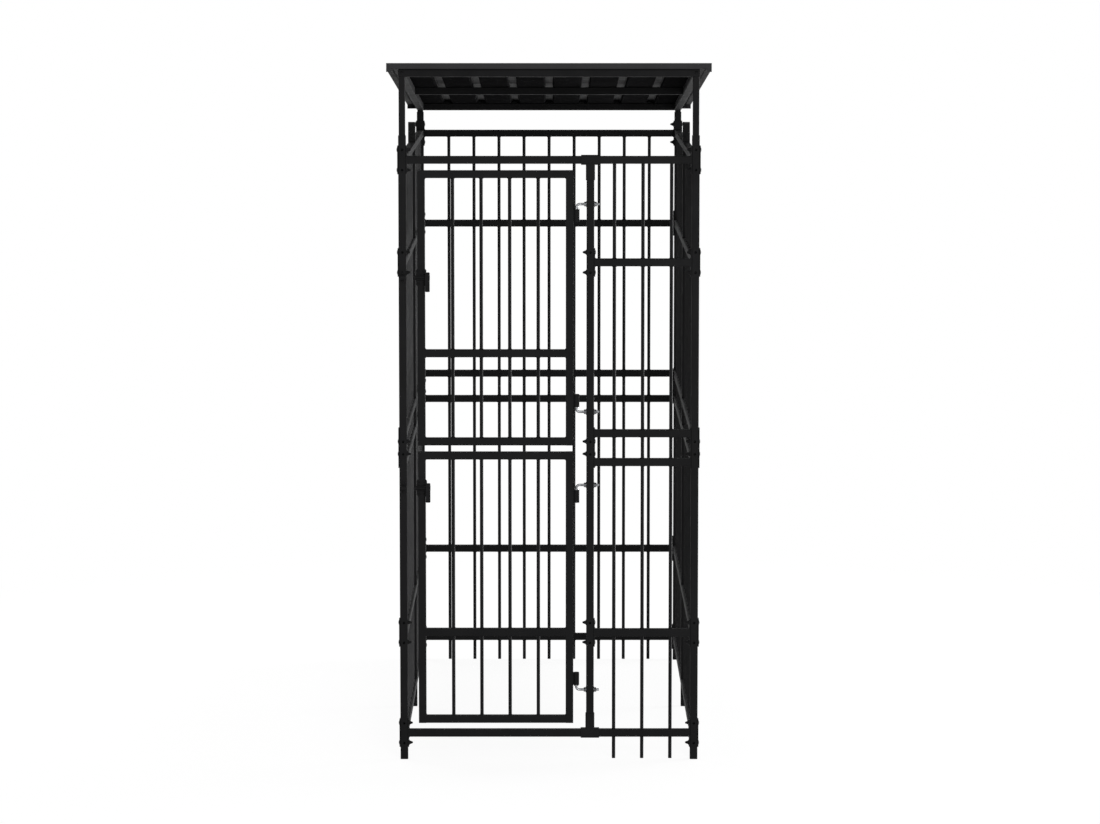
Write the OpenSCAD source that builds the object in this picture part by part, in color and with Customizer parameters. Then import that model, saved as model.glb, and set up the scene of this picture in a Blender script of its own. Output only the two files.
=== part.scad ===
// Outdoor dog kennel run: two square units deep, barred walls, two half doors and a sloped roof.
// Millimetres, +Z up, front towards -Y, origin on the ground at the middle of the footprint.

/* [Posts and rails] */
// Spacing of the posts in each unit, centre to centre
unit_pitch = 955; // [800:5:1100]
// Side of the square post tube
post_w = 25; // [24:1:32]
// Height of the posts
post_h = 2056; // [2000:1:2300]
// Length of the plugs in the bare post tops
plug_l = 12; // [8:1:30]
// Thickness of the plugs' caps
plug_cap = 3; // [2:0.5:6]
// Side of the square rail tube
rail_w = 25; // [20:1:25]
// Wall of all square tubes
tube_wall = 1.5; // [1:0.1:2]
// Outer corner radius of all square tubes
tube_r = 3; // [2.5:0.1:4]
// Height of the bottom rail
bottom_rail_z = 87; // [75:1:120]
// Height of the lower panels' middle rail
low_mid_z = 422; // [300:1:600]
// Height of the lower panels' top rail
low_top_z = 987; // [900:1:990]
// Height of the upper panels' bottom rail
high_bottom_z = 1082; // [1080:1:1150]
// Height of the upper panels' middle rail
high_mid_z = 1643; // [1500:1:1750]
// Depth of the top rail below the post tops
top_rail_drop = 79; // [70:1:160]

/* [Bars] */
// Diameter of the bars
bar_d = 11.5; // [8:0.5:14]
// Spacing of the bars, centre to centre
bar_pitch = 93; // [70:1:140]
// Least room beside the outermost bars
bar_edge = 60; // [40:1:80]
// Height of the bar ends above the ground
bar_foot = 2; // [1:0.5:10]
// Length of the side bars below their bottom rail
bar_stub = 8; // [2:1:20]
// Gap between the bars and brackets of an upper and a lower panel
panel_gap = 1; // [0.5:0.5:10]
// Play of a bar in the hole of a separate rail
bar_play = 0.4; // [0.2:0.1:1]

/* [Brackets and bolts] */
// Thickness of the rail end brackets
plate_t = 3; // [2:0.5:5]
// Reach of a bracket above and below its rail's centre
bracket_reach = 46; // [44:1:60]
// Reach of a bracket on the short side
bracket_short = 18; // [14:1:25]
// Distance of the bolts from the rail's centre
bolt_rise = 33; // [28:1:34]
// Distance of the bolts from the rails at the middle joint
joint_bolt_rise = 27; // [25:1:34]
// Diameter of the frame bolts
bolt_d = 8; // [6:0.5:9]
// Diameter of the domed bolt heads
dome_d = 18; // [16:1:22]
// Height of the domed bolt heads
dome_h = 2.6; // [2:0.1:6]
// Diameter of the cap nuts
nut_d = 18; // [15:1:20]
// Height of the cap nuts' flange
nut_flange = 2; // [2:0.5:5]
// Diameter of the cap nuts' cone at the flange
nut_neck_d = 13; // [12:0.5:15]
// Diameter of the cap nuts' tip
nut_tip_d = 5; // [4:0.5:8]
// Length of the cap nuts
nut_l = 12.5; // [12:0.5:18]
// Play between pieces that are bolted face to face
seat_gap = 0.1; // [0.05:0.05:0.3]
// Play of a bolt in its hole, on the radius
hole_play = 0.25; // [0.15:0.05:0.5]

/* [Front divider] */
// Place of the divider post from the middle of the front
divider_x = 135; // [60:1:200]
// Length of a tee along the rail
tee_l = 61; // [45:1:90]
// Length of a tee along the divider post
tee_leg = 53; // [30:1:80]
// Wall of a tee round the rail
tee_wall = 3; // [2:0.1:5]
// Wall of a tee round the divider post
tee_leg_wall = 2; // [1.5:0.1:4]
// Play of a tee on its tubes
tee_play = 0.3; // [0.2:0.1:0.5]

/* [Doors] */
// Gap above, between and below the doors
door_gap = 21.5; // [15:0.5:30]
// Gap between the doors and the latch post
door_latch_gap = 36; // [30:1:40]
// Side of the square door tube
door_tube = 25; // [22:1:25]
// Height of a door's middle rail above its lower edge
door_mid_rise = 302.5; // [200:0.5:420]
// Diameter of the drain holes in the door frame
drain_d = 6; // [4:0.5:8]

/* [Hinges] */
// Distance of the hinge pins from the middle of the divider
hinge_reach = 45; // [42:1:60]
// Distance of the hinge pins from the door's edge
hinge_setback = 10; // [10:0.5:13]
// Diameter of the hinge hooks
pin_d = 8; // [6:0.5:9]
// Running clearance of the pins, on the radius
pin_clear = 0.05; // [0.03:0.01:0.09]
// Distance of the hooks from the door's upper and lower edge
hinge_inset = 110; // [90:1:150]
// Outer diameter of the hinge sleeves
sleeve_d = 19; // [17:0.5:19.5]
// Length of the hinge sleeves
sleeve_l = 42; // [30:1:60]
// Distance from a hook's shank to its sleeve
sleeve_drop = 16; // [15:0.5:20]
// Radius of the hook's bend
hook_bend = 10; // [9:0.5:11]
// How far the pin ends inside its sleeve
pin_inset = 3; // [1:0.5:8]
// Diameter of the collar that carries the sleeve
collar_d = 15; // [13:0.5:17]
// Thickness of the collar
collar_t = 3; // [2:0.5:4]
// End play of the sleeve on its collar
collar_gap = 0.3; // [0.2:0.1:0.6]
// Diameter of the hook's washers
washer_d = 20; // [16:0.5:24]
// Thickness of the hook's washers
washer_t = 1.6; // [1:0.1:2.5]
// Width across flats of the hook's nuts
hex_w = 13; // [11:0.5:15]
// Height of the hook's nuts
hex_h = 6.5; // [5:0.5:8]
// Length of thread past the outer nut
thread_end = 9; // [3:1:15]

/* [Latches] */
// Height of the upper latch above its door's lower edge
upper_latch_rise = 552; // [400:1:700]
// Depth of the lower latch below its door's upper edge
lower_latch_drop = 118; // [80:1:350]
// Length of the latch barrel
barrel_l = 52; // [48:1:60]
// Distance of the barrel's inner end from the door's edge
barrel_inset = 41; // [37:1:42]
// Outer diameter of the barrel and the keeper
barrel_d = 16; // [15:0.5:17]
// Diameter of the latch bolt
latch_d = 10; // [8:0.5:11]
// Travel of the latch bolt
latch_travel = 34; // [30:1:36]
// How far the withdrawn latch bolt stands out of its barrel
latch_tip = 2; // [0.5:0.5:4]
// Width of the latch base plate
base_w = 34; // [30:1:40]
// Height of the latch base plate
base_h = 68; // [60:1:80]
// Chamfer of the base plate's corners
base_chamfer = 10; // [4:1:12]
// Thickness of the latch base plate and keeper plate
base_t = 2.5; // [2:0.5:4]
// Diameter of the stem between the latch bolt and its grip
stem_d = 7; // [5:0.5:7]
// Width of the latch grip
grip_w = 15; // [12:1:18]
// Length of the latch grip
grip_l = 64; // [45:1:70]
// How far the grip reaches above the latch bolt
grip_above = 18; // [10:1:25]
// Thickness of the latch grip
grip_t = 4; // [3:0.5:5]
// Gap between the grip and its barrel
grip_gap = 0.6; // [0.4:0.1:1]
// Length of the keeper along the latch bolt
keeper_l = 21; // [16:1:22]
// Height of the keeper's plate
keeper_h = 36; // [32:1:44]
// Play of the latch bolt in its keeper, on the radius
keeper_play = 0.4; // [0.3:0.1:0.8]
// Diameter of the latch screws
screw_d = 4; // [3:0.5:4.5]
// Diameter of the latch screw heads
screw_head_d = 8; // [7:0.5:8]
// Height of the latch screw heads
screw_head_h = 2.4; // [2:0.1:3]
// Length of the latch screws under the head
screw_l = 9; // [7:0.5:14]

/* [Roof] */
// Gap between the post tops and the back beam
roof_lift = 5; // [0.5:0.5:60]
// Slope of the roof towards the back
roof_slope = 5.5; // [3:0.1:9]
// Reach of the roof past the post centres, front and back
roof_over_y = 40; // [39:1:80]
// Reach of the roof past the post centres, left and right
roof_over_x = 49; // [46:1:90]
// Side of the square roof post tube
roof_post_w = 21; // [18:0.5:21]
// Gap between a roof post and the bolt that it stands on
roof_post_gap = 0.3; // [0.2:0.1:1]
// Diameter of the heads of the roof posts' screws
post_head_d = 10; // [8:0.5:14]
// Length of the roof posts' screws under the head
post_screw_l = 7; // [5:0.5:12]
// Side of the square roof beam tube
beam_w = 25; // [22:1:28]
// Diameter of the bolts at the beam ends
beam_bolt_d = 6; // [5:0.5:8]
// Thickness of the roof sheet
sheet_t = 0.8; // [0.6:0.1:1.2]
// Number of ribs in the roof sheet
rib_count = 7; // [5:1:8]
// Spacing of the ribs
rib_pitch = 125; // [100:1:125]
// Width of a rib at its crest
rib_crest = 22; // [15:1:30]
// Width of a rib's slanted flank
rib_flank = 6; // [4:0.5:10]
// Height of the ribs
rib_h = 12; // [8:0.5:14]
// Height of the edge trims above the sheet's underside
trim_above = 17; // [14:0.5:22]
// Depth of the side trims below the sheet's underside
side_trim_below = 8; // [4:0.5:14]
// Depth of the back trim below the sheet's underside
back_trim_below = 17; // [4:0.5:20]
// Width of the trims' inner leg
trim_leg = 20; // [12:1:24]
// Thickness of the trims
trim_t = 1.5; // [1:0.1:2]
// Diameter of the roof screws
roof_screw_d = 5.5; // [4:0.1:6]
// Diameter of the roof screw heads
roof_head_d = 13; // [10:0.5:16]
// Height of the roof screw heads
roof_head_h = 4; // [3:0.5:5]
// Length of the roof screws under the head
roof_screw_l = 11; // [8:0.5:15]

/* [Hidden] */
$fn = 48;

powder_black = [0.12, 0.12, 0.125];
plastic_black = [0.06, 0.06, 0.06];
zinc = [0.72, 0.73, 0.75];
roof_grey = [0.2, 0.2, 0.21];
// Overlap that lets cuts pass through a face
cut = 1;

// Rails: height, bolt offsets, reach of the bracket below and above
top_rail_z = post_h - top_rail_drop;
joint_reach = (high_bottom_z - low_top_z - panel_gap) / 2;
function pair(z) = [z, [-bolt_rise, bolt_rise], bracket_reach, bracket_reach];
function joint_up(z) = [z, [joint_bolt_rise], bracket_short, joint_reach];
function joint_down(z) = [z, [-joint_bolt_rise], joint_reach, bracket_short];
BOTTOM = pair(bottom_rail_z);
LOW_MID = pair(low_mid_z);
LOW_TOP = joint_up(low_top_z);
HIGH_BOTTOM = joint_down(high_bottom_z);
HIGH_MID = pair(high_mid_z);
TOP = pair(top_rail_z);
ALL_RAILS = [BOTTOM, LOW_MID, LOW_TOP, HIGH_BOTTOM, HIGH_MID, TOP];
FRONT_RAILS = [LOW_MID, LOW_TOP, HIGH_BOTTOM, HIGH_MID];
function bolt_heights(rails) = [for (r = rails, dz = r[1]) r[0] + dz];

// Places of the posts and the wall lines
post_x = unit_pitch / 2;
post_y = unit_pitch;
front_y = -post_y;
clear_span = unit_pitch - post_w;
divider_right = divider_x + post_w / 2;
fixed_span = post_x - post_w / 2 - divider_right;
fixed_mid = (post_x - post_w / 2 + divider_right) / 2;
low_bar_top = low_top_z + joint_reach;
high_bar_bottom = high_bottom_z - joint_reach;
side_bar_foot = bottom_rail_z - rail_w / 2 - bar_stub;
hole_d = bolt_d + 2 * hole_play;
seat = plate_t + seat_gap;

// Even row of bars, centred in a clear span
function bar_count(span) = floor((span - 2 * bar_edge) / bar_pitch) + 1;
function bar_places(span) =
    [for (i = [0 : bar_count(span) - 1]) (i - (bar_count(span) - 1) / 2) * bar_pitch];

// Doors
door_h = (top_rail_z - bottom_rail_z - rail_w - 3 * door_gap) / 2;
lower_door_z = bottom_rail_z + rail_w / 2 + door_gap;
upper_door_z = lower_door_z + door_h + door_gap;
hinge_x = divider_x - hinge_reach;
door_right = hinge_x - hinge_setback;
door_left = -post_x + post_w / 2 + door_latch_gap;
door_w = door_right - door_left;
door_face = front_y - door_tube / 2;
bore_d = pin_d + 2 * pin_clear;
HOOK_HEIGHTS = [for (z = [lower_door_z, upper_door_z]) each [z + hinge_inset, z + door_h - hinge_inset]];

// Latches
upper_latch_z = upper_door_z + upper_latch_rise;
lower_latch_z = lower_door_z + door_h - lower_latch_drop;
barrel_right = door_left + barrel_inset;
barrel_left = barrel_right - barrel_l;
latch_y = door_face - seat_gap - base_t - barrel_d / 2;
latch_bore = latch_d + 2 * pin_clear;
grip_x = barrel_right - grip_w / 2;
stile_x = door_left + door_tube / 2;
base_screw_z = (base_h + barrel_d) / 4;
base_screw_x = door_tube / 3;
keeper_screw_z = (keeper_h + barrel_d) / 4;
post_face = front_y - post_w / 2;

// Roof, in its own frame: y runs along the slope, z = 0 is the sheet's underside
beam_y = post_y / cos(roof_slope);
roof_z = post_h + roof_lift + (beam_y + beam_w / 2) * sin(roof_slope) + beam_w * cos(roof_slope);
roof_len = 2 * (post_y + roof_over_y) / cos(roof_slope);
roof_inner_len = roof_len - 2 * (trim_t + seat_gap);
roof_wid = 2 * (post_x + roof_over_x);
roof_shift = -sin(roof_slope) * (trim_above - trim_t) / 2;
roof_post_foot = top_rail_z + bolt_rise + bolt_d / 2 + roof_post_gap;
post_screw_z = post_h - (top_rail_drop - bracket_reach) / 2;
beam_hole_d = beam_bolt_d + 2 * hole_play;
screw_hole_d = roof_screw_d + 2 * hole_play;

module rounded_square(w, r) {
    square([w, w - 2 * r], center = true);
    square([w - 2 * r, w], center = true);
    for (i = [-1, 1], j = [-1, 1])
        translate([i * (w / 2 - r), j * (w / 2 - r)]) circle(r = r);
}

module tube_solid(w, l) {
    linear_extrude(l) rounded_square(w, tube_r);
}

module tube_bore(w, l) {
    linear_extrude(l) rounded_square(w - 2 * tube_wall, tube_r - tube_wall);
}

module square_tube(w, l) {
    difference() {
        tube_solid(w, l);
        translate([0, 0, -cut]) tube_bore(w, l + 2 * cut);
    }
}

// Turns a shape that stands on z = 0 so that it runs along +X or +Y
module along_x() {
    rotate([0, 90, 0]) children();
}

module along_y() {
    rotate([-90, 0, 0]) children();
}

module cross_hole(d, l) {
    translate([0, 0, -l / 2]) cylinder(d = d, h = l);
}

// Post with bolt holes both ways at every bracket; a corner post is drilled for its roof post's screw
module post(x, y) {
    color(powder_black) translate([x, y, 0]) difference() {
        square_tube(post_w, post_h);
        if (y != 0) translate([0, 0, post_screw_z]) along_y() cylinder(d = screw_hole_d, h = post_w);
        for (z = bolt_heights(ALL_RAILS)) translate([0, 0, z]) {
            along_x() cross_hole(hole_d, post_w + 2 * cut);
            along_y() cross_hole(hole_d, post_w + 2 * cut);
        }
    }
}

// Push-in plugs in the bare tops of the middle posts
module post_plugs() {
    stem = post_w - 2 * tube_wall - 2 * seat_gap;
    color(plastic_black) for (s = [-1, 1]) translate([s * post_x, 0, post_h]) {
        translate([0, 0, -plug_l]) linear_extrude(plug_l + seat_gap)
            rounded_square(stem, tube_r - tube_wall);
        translate([0, 0, seat_gap]) linear_extrude(plug_cap) rounded_square(post_w, tube_r);
    }
}

// Rail end bracket: a web on the post's near face, and on a corner a leg on its outer face
module bracket(span, rail, corner) {
    u0 = span / 2 - seat;
    u1 = span / 2 - seat_gap;
    v1 = post_w / 2 + seat_gap;
    web = [[u0, -post_w / 2], [u1, -post_w / 2], [u1, post_w / 2], [u0, post_w / 2]];
    angle = [[u0, -post_w / 2], [u1, -post_w / 2], [u1, v1], [span / 2 + post_w, v1],
        [span / 2 + post_w, v1 + plate_t], [u0, v1 + plate_t]];
    translate([0, 0, rail[0] - rail[2]])
        linear_extrude(rail[2] + rail[3]) polygon(corner ? angle : web);
}

module bracket_holes(span, rail, corner) {
    for (dz = rail[1]) translate([0, 0, rail[0] + dz]) {
        if (corner) {
            translate([span / 2 + post_w / 2, post_w / 2, 0]) along_y()
                cylinder(d = hole_d, h = seat + cut);
        } else {
            translate([span / 2 - seat - cut, 0, 0]) along_x() cylinder(d = hole_d, h = seat + 2 * cut);
        }
    }
}

// Rails with end brackets; corners says which ends (first, last) carry a leg on the outer face
module rail_frame(span, rails, corners) {
    difference() {
        union() {
            for (r = rails) translate([-span / 2 + seat, 0, r[0]])
                along_x() tube_solid(rail_w, span - 2 * seat);
            for (r = rails, e = [0, 1]) mirror([1 - e, 0, 0]) bracket(span, r, corners[e]);
        }
        for (r = rails) translate([-span / 2, 0, r[0]]) along_x() tube_bore(rail_w, span);
        for (r = rails, e = [0, 1]) mirror([1 - e, 0, 0]) bracket_holes(span, r, corners[e]);
    }
}

module bars(span, z0, z1) {
    for (u = bar_places(span)) translate([u, 0, z0]) cylinder(d = bar_d, h = z1 - z0);
}

module lower_panel(span, rails, corners, foot) {
    color(powder_black) {
        rail_frame(span, rails, corners);
        bars(span, foot, low_bar_top);
    }
}

module upper_panel(span, rails, corners) {
    color(powder_black) {
        rail_frame(span, rails, corners);
        bars(span, high_bar_bottom, top_rail_z);
    }
}

module front_panel_lower() {
    translate([fixed_mid, front_y, 0])
        lower_panel(fixed_span, [LOW_MID, LOW_TOP], [false, false], bar_foot);
}

module front_panel_upper() {
    translate([fixed_mid, front_y, 0])
        upper_panel(fixed_span, [HIGH_BOTTOM, HIGH_MID], [false, false]);
}

module back_panel_lower() {
    translate([0, post_y, 0])
        lower_panel(clear_span, [BOTTOM, LOW_MID, LOW_TOP], [false, false], bar_foot);
}

module back_panel_upper() {
    translate([0, post_y, 0])
        upper_panel(clear_span, [HIGH_BOTTOM, HIGH_MID, TOP], [false, false]);
}

// Side wall place: side -1 is left and 1 right, unit -1 is the front unit and 1 the back unit
module side_wall(side, unit) {
    translate([side * post_x, unit * unit_pitch / 2, 0]) rotate([0, 0, -90 * side]) children();
}

function side_corners(side, unit) = side * unit < 0 ? [false, true] : [true, false];

module side_panel_lower(side, unit) {
    side_wall(side, unit)
        lower_panel(clear_span, [BOTTOM, LOW_MID, LOW_TOP], side_corners(side, unit), side_bar_foot);
}

module side_panel_upper(side, unit) {
    side_wall(side, unit)
        upper_panel(clear_span, [HIGH_BOTTOM, HIGH_MID, TOP], side_corners(side, unit));
}

// Full-width front rails, drilled for the bars of the fixed panels
module front_rail(rail, hole_z, hole_h) {
    color(powder_black) translate([0, front_y, 0]) difference() {
        rail_frame(clear_span, [rail], [false, false]);
        for (u = bar_places(fixed_span)) translate([fixed_mid + u, 0, hole_z])
            cylinder(d = bar_d + 2 * bar_play, h = hole_h);
    }
}

module front_bottom_rail() {
    front_rail(BOTTOM, bottom_rail_z - rail_w / 2 - cut, rail_w + 2 * cut);
}

module front_top_rail() {
    front_rail(TOP, top_rail_z - rail_w / 2 - cut, rail_w / 2 + cut);
}

module divider_post() {
    z0 = bottom_rail_z + rail_w / 2 + tee_play;
    z1 = top_rail_z - rail_w / 2 - tee_play;
    color(powder_black) translate([divider_x, front_y, 0]) difference() {
        translate([0, 0, z0]) square_tube(post_w, z1 - z0);
        for (z = bolt_heights(FRONT_RAILS)) translate([0, 0, z]) {
            along_x() cross_hole(hole_d, post_w + 2 * cut);
            along_y() cross_hole(hole_d, post_w + 2 * cut);
        }
        for (z = HOOK_HEIGHTS) translate([0, 0, z])
            along_x() cross_hole(pin_d + 2 * hole_play, post_w + 2 * cut);
    }
}

// Tee that sleeves the rail and the divider's end, made for the lower end
module tee() {
    rail_out = rail_w + 2 * (tee_play + tee_wall);
    leg_out = post_w + 2 * (tee_play + tee_leg_wall);
    difference() {
        union() {
            translate([-tee_l / 2, 0, 0]) along_x() linear_extrude(tee_l)
                rounded_square(rail_out, tube_r + tee_wall);
            linear_extrude(rail_w / 2 + tee_leg) rounded_square(leg_out, tube_r + tee_leg_wall);
        }
        translate([-tee_l / 2 - cut, 0, 0]) along_x() linear_extrude(tee_l + 2 * cut)
            rounded_square(rail_w + 2 * tee_play, tube_r);
        linear_extrude(rail_w / 2 + tee_leg + cut) rounded_square(post_w + 2 * tee_play, tube_r);
    }
}

module divider_bottom_tee() {
    color(powder_black) translate([divider_x, front_y, bottom_rail_z]) tee();
}

module divider_top_tee() {
    color(powder_black) translate([divider_x, front_y, top_rail_z]) mirror([0, 0, 1]) tee();
}

// Places of the frame bolts: head seat at the origin, shank along +Z for the given grip
module at_frame_bolts() {
    outer = post_x + post_w / 2 + seat;
    inner = post_x - post_w / 2 - seat;
    for (sx = [-1, 1], sy = [-1, 1], r = ALL_RAILS, dz = r[1]) {
        // The back left post's bolts point outwards, as the back wall's bolts all run one way
        flip = sx < 0 && sy > 0;
        // The front left post carries no fixed panel beside the doors
        web = sx > 0 || sy > 0 || r == BOTTOM || r == TOP ? seat : 0;
        translate([sx * (flip ? inner : outer), sy * post_y, r[0] + dz])
            rotate([0, flip ? -90 : -90 * sx, 0]) {
                $grip = seat + post_w + web;
                children();
            }
    }
    for (sx = [-1, 1], z = bolt_heights(ALL_RAILS))
        translate([sx * post_x, -post_w / 2 - seat, z]) rotate([-90, 0, 0]) {
            $grip = post_w + 2 * seat;
            children();
        }
    for (z = bolt_heights(FRONT_RAILS))
        translate([divider_right + seat, front_y, z]) rotate([0, -90, 0]) {
            $grip = post_w + seat;
            children();
        }
}

module dome(d, h) {
    r = (d * d / 4 + h * h) / (2 * h);
    rotate_extrude() intersection() {
        translate([0, r - h]) circle(r = r);
        translate([0, -h]) square([d / 2, h]);
    }
}

module frame_bolts() {
    color(powder_black) at_frame_bolts() {
        dome(dome_d, dome_h);
        cylinder(d = bolt_d, h = $grip + nut_l / 2);
    }
}

module frame_nuts() {
    color(powder_black) at_frame_bolts() translate([0, 0, $grip]) difference() {
        union() {
            cylinder(d = nut_d, h = nut_flange);
            translate([0, 0, nut_flange]) cylinder(d1 = nut_neck_d, d2 = nut_tip_d, h = nut_l - nut_flange);
        }
        translate([0, 0, -cut]) cylinder(d = bolt_d + 2 * seat_gap, h = nut_l / 2 + cut + seat_gap);
    }
}

// Half door: square tube frame with a middle rail, bars and two hinge sleeves
module door(z, latch_z) {
    inner = door_w - 2 * door_tube;
    levels = [door_tube / 2, door_mid_rise, door_h - door_tube / 2];
    stiles = [door_left + door_tube / 2, door_right - door_tube / 2];
    mid_x = (door_left + door_right) / 2;
    color(powder_black) translate([0, front_y, z]) {
        difference() {
            union() {
                for (x = stiles) translate([x, 0, 0]) tube_solid(door_tube, door_h);
                for (l = levels) translate([stiles[0], 0, l])
                    along_x() tube_solid(door_tube, door_w - door_tube);
            }
            for (x = stiles) translate([x, 0, tube_wall]) tube_bore(door_tube, door_h - 2 * tube_wall);
            for (l = levels) translate([stiles[0], 0, l])
                along_x() tube_bore(door_tube, door_w - door_tube);
            for (x = stiles) translate([x, 0, -cut]) cylinder(d = drain_d, h = tube_wall + 2 * cut);
            translate([0, -front_y, -z]) at_latch_screws(latch_z)
                cylinder(d = screw_d + 2 * hole_play, h = screw_l);
        }
        translate([mid_x, 0, door_tube / 2]) bars(inner, 0, door_h - door_tube);
        hinge_sleeve(hinge_inset + sleeve_drop);
        hinge_sleeve(door_h - hinge_inset - sleeve_drop - sleeve_l);
    }
}

module hinge_sleeve(z) {
    weld_t = door_tube / 3;
    translate([0, 0, z]) difference() {
        union() {
            translate([hinge_x, 0, 0]) cylinder(d = sleeve_d, h = sleeve_l);
            translate([door_right - tube_wall / 2, -weld_t / 2, 0])
                cube([hinge_setback + tube_wall / 2, weld_t, sleeve_l]);
        }
        translate([hinge_x, 0, -cut]) cylinder(d = bore_d, h = sleeve_l + 2 * cut);
    }
}

// Hinge hook with its pin pointing up: a threaded shank, a bend, a collar and the pin
module hinge_hook() {
    shank_end = hinge_reach + post_w / 2 + seat_gap + washer_t + hex_h + thread_end;
    pin_l = sleeve_drop + sleeve_l - pin_inset - hook_bend;
    translate([hook_bend, 0, 0]) along_x() cylinder(d = pin_d, h = shank_end - hook_bend);
    translate([hook_bend, 0, hook_bend]) rotate([90, 0, 0]) rotate_extrude(angle = 90, start = 180)
        translate([hook_bend, 0]) circle(d = pin_d);
    translate([0, 0, hook_bend]) cylinder(d = pin_d, h = pin_l);
    translate([0, 0, sleeve_drop - collar_gap - collar_t]) cylinder(d = collar_d, h = collar_t);
}

module hinge_hooks(z) {
    color(zinc) {
        translate([hinge_x, front_y, z + hinge_inset]) hinge_hook();
        translate([hinge_x, front_y, z + door_h - hinge_inset]) mirror([0, 0, 1]) hinge_hook();
    }
}

// Seats of the washers on both faces of the divider, pointing away from it
module at_hook_seats() {
    for (z = HOOK_HEIGHTS, s = [-1, 1])
        translate([divider_x + s * (post_w / 2 + seat_gap), front_y, z]) rotate([0, 90 * s, 0]) children();
}

module hinge_washers() {
    color(zinc) at_hook_seats() difference() {
        cylinder(d = washer_d, h = washer_t);
        translate([0, 0, -cut]) cylinder(d = pin_d + 2 * hole_play, h = washer_t + 2 * cut);
    }
}

module hinge_nuts() {
    color(zinc) at_hook_seats() translate([0, 0, washer_t]) difference() {
        cylinder(d = hex_w / cos(30), h = hex_h, $fn = 6);
        translate([0, 0, -cut]) cylinder(d = pin_d + 2 * seat_gap, h = hex_h + 2 * cut);
    }
}

// Barrel along +X with a saddle of length saddle_l, standing on the plane y = back
module barrel(mid_x, l, saddle_x, saddle_l, z, back) {
    saddle_h = barrel_d * 2 / 3;
    translate([mid_x - l / 2, latch_y, z]) along_x() cylinder(d = barrel_d, h = l);
    translate([saddle_x - saddle_l / 2, latch_y, z - saddle_h / 2])
        cube([saddle_l, back - latch_y, saddle_h]);
}

module chamfered_plate(w, h, c) {
    polygon([for (i = [[1, 1], [-1, 1], [-1, -1], [1, -1]], j = i[0] * i[1] > 0 ? [0, 1] : [1, 0])
        [i[0] * (w / 2 - j * c), i[1] * (h / 2 - (1 - j) * c)]]);
}

// Seats of the latch screws on the base plate, pointing into the door
module at_latch_screws(z) {
    for (s = [-1, 1], x = [-1, 1])
        translate([stile_x + x * base_screw_x, door_face - seat_gap - base_t, z + s * base_screw_z])
            along_y() children();
}

module latch_case(z) {
    back = door_face - seat_gap;
    slot_w = stem_d + 2 * keeper_play;
    color(powder_black) difference() {
        union() {
            translate([stile_x, back, z]) rotate([90, 0, 0]) linear_extrude(base_t)
                chamfered_plate(base_w, base_h, base_chamfer);
            barrel((barrel_left + barrel_right) / 2, barrel_l, stile_x, base_w, z, back);
        }
        translate([barrel_left - cut, latch_y, z]) along_x()
            cylinder(d = latch_bore, h = barrel_l + 2 * cut);
        translate([grip_x - latch_travel - slot_w / 2, latch_y - barrel_d, z - slot_w / 2])
            cube([latch_travel + slot_w, barrel_d, slot_w]);
        at_latch_screws(z) translate([0, 0, -cut])
            cylinder(d = screw_d + 2 * hole_play, h = base_t + 2 * cut);
    }
}

// Latch bolt with its grip, withdrawn; it slides along -X
module latch_bolt(z) {
    grip_back = latch_y - barrel_d / 2 - grip_gap;
    color(powder_black) {
        translate([barrel_left - latch_tip, latch_y, z]) along_x() cylinder(d = latch_d, h = barrel_l);
        translate([grip_x, grip_back - grip_t / 2, z]) along_y()
            cylinder(d = stem_d, h = latch_y - grip_back + grip_t / 2);
        translate([grip_x, grip_back, z + grip_above - grip_l / 2]) rotate([90, 0, 0])
            linear_extrude(grip_t) chamfered_plate(grip_w, grip_l, grip_t / 2);
    }
}

module screw(d, l, head_d, head_h) {
    translate([0, 0, -head_h]) cylinder(d = head_d, h = head_h);
    cylinder(d = d, h = l);
}

module latch_screws(z) {
    color(powder_black) at_latch_screws(z) screw(screw_d, screw_l, screw_head_d, screw_head_h);
}

// Keeper that takes the shot latch bolt, on the front of the latch post
module latch_keeper(z) {
    back = post_face - seat_gap;
    color(powder_black) difference() {
        union() {
            translate([-post_x - keeper_l / 2, back - base_t, z - keeper_h / 2])
                cube([keeper_l, base_t, keeper_h]);
            barrel(-post_x, keeper_l, -post_x, keeper_l, z, back);
        }
        translate([-post_x - keeper_l / 2 - cut, latch_y, z]) along_x()
            cylinder(d = latch_d + 2 * keeper_play, h = keeper_l + 2 * cut);
        at_keeper_screws(z) translate([0, 0, -cut])
            cylinder(d = screw_d + 2 * hole_play, h = base_t + 2 * cut);
    }
}

module at_keeper_screws(z) {
    for (s = [-1, 1]) translate([-post_x, post_face - seat_gap - base_t, z + s * keeper_screw_z])
        along_y() children();
}

module keeper_screws() {
    color(powder_black) for (z = [lower_latch_z, upper_latch_z])
        at_keeper_screws(z) screw(screw_d, base_t + seat_gap, screw_head_d, screw_head_h);
}

module in_roof() {
    translate([0, roof_shift, roof_z]) rotate([-roof_slope, 0, 0]) children();
}

function beam_screws() = [for (i = [0 : rib_count - 2]) (i - (rib_count - 2) / 2) * rib_pitch];

module beam_screw_holes() {
    for (x = beam_screws()) translate([x, 0, beam_w / 2 - tube_wall - cut])
        cylinder(d = screw_hole_d, h = tube_wall + 2 * cut);
}

// Closed tube along +X, centred, with end plates of thickness t
module closed_tube(l, t) {
    difference() {
        translate([-l / 2, 0, 0]) along_x() tube_solid(beam_w, l);
        translate([-l / 2 + t, 0, 0]) along_x() tube_bore(beam_w, l - 2 * t);
    }
}

// Member between two others, drilled through its end plates
module between(l) {
    difference() {
        closed_tube(l, plate_t);
        translate([-l / 2 - cut, 0, 0]) along_x() cylinder(d = beam_hole_d, h = l + 2 * cut);
    }
}

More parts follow.
